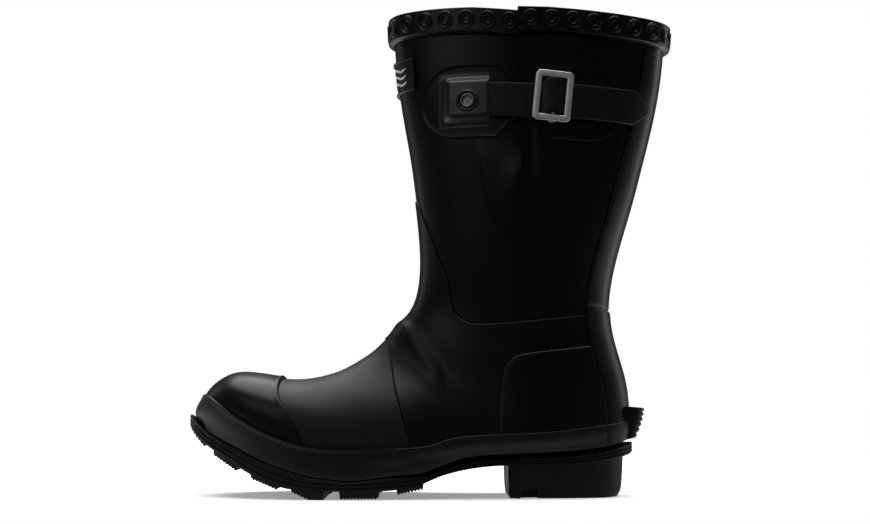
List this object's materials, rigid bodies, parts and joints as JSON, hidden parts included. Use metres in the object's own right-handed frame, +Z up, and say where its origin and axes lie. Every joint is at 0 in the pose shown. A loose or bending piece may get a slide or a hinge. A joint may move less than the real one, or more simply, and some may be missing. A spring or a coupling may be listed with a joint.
{
  "type": "rubber rain boot",
  "caption": "Short rubber rain boot for a left foot, with a lugged sole, stacked heel, side slit and a strap through a frame buckle on its outer side.",
  "frame": {"origin": "middle of the heel top piece's flat bottom, on the ground", "axes": "+Z up, toe along -X, heel along +X, outer (buckle) side along -Y, inner side along +Y"},
  "size_m": [0.3048, 0.1021, 0.3021],
  "materials": {
    "upper_rubber": "semi-gloss black vulcanised rubber",
    "sole_rubber": "matte black moulded rubber",
    "strap_rubber": "satin black rubber",
    "lining_textile": "black knitted polyester",
    "footbed_textile": "dark brushed textile on foam",
    "insole_board": "brown cellulose board",
    "brushed_metal": "brushed, bright bevelled edges"
  },
  "bodies": {
    "boot": {"leg_shell": "upper_rubber", "quarter_shell": "upper_rubber", "vamp_shell": "upper_rubber", "sock_lining": "lining_textile", "toe_cap": "upper_rubber", "heel_counter_outer": "upper_rubber", "heel_counter_inner": "upper_rubber", "back_strip": "upper_rubber", "heel_strip": "upper_rubber", "foxing_band": "upper_rubber", "outsole": "sole_rubber", "midsole": "sole_rubber", "heel_block": "sole_rubber", "heel_top_piece": "sole_rubber", "heel_spur": "sole_rubber", "shank": "brushed_metal", "insole_board": "insole_board", "footbed": "footbed_textile", "gusset_panel": "lining_textile", "rim_band": "upper_rubber", "label_plate": "upper_rubber", "label_frame": "upper_rubber", "strap_patch_front": "upper_rubber", "strap_patch_rear": "upper_rubber", "strap_cover": "upper_rubber", "strap": "strap_rubber", "buckle_loop": "strap_rubber", "rivet_stud": "brushed_metal", "rivet_washer": "brushed_metal"},
    "buckle": {"buckle_frame": "brushed_metal", "buckle_pin": "brushed_metal"},
    "strap_end": {"strap_end": "strap_rubber"}
  },
  "joints": [
    {"name": "buckle_tilt", "type": "hinge", "parent": "boot", "child": "buckle", "pos_m": [-0.00701, -0.04389, 0.2443], "axis": [-0.1043, -0.0042, -0.9945], "range_deg": [0, 7]},
    {"name": "strap_end_lift", "type": "hinge", "parent": "boot", "child": "strap_end", "pos_m": [0.00715, -0.0443, 0.2425], "axis": [0, 0, -1], "range_deg": [0, 75], "stiffness_Nm_per_rad": 0.02}
  ]
}
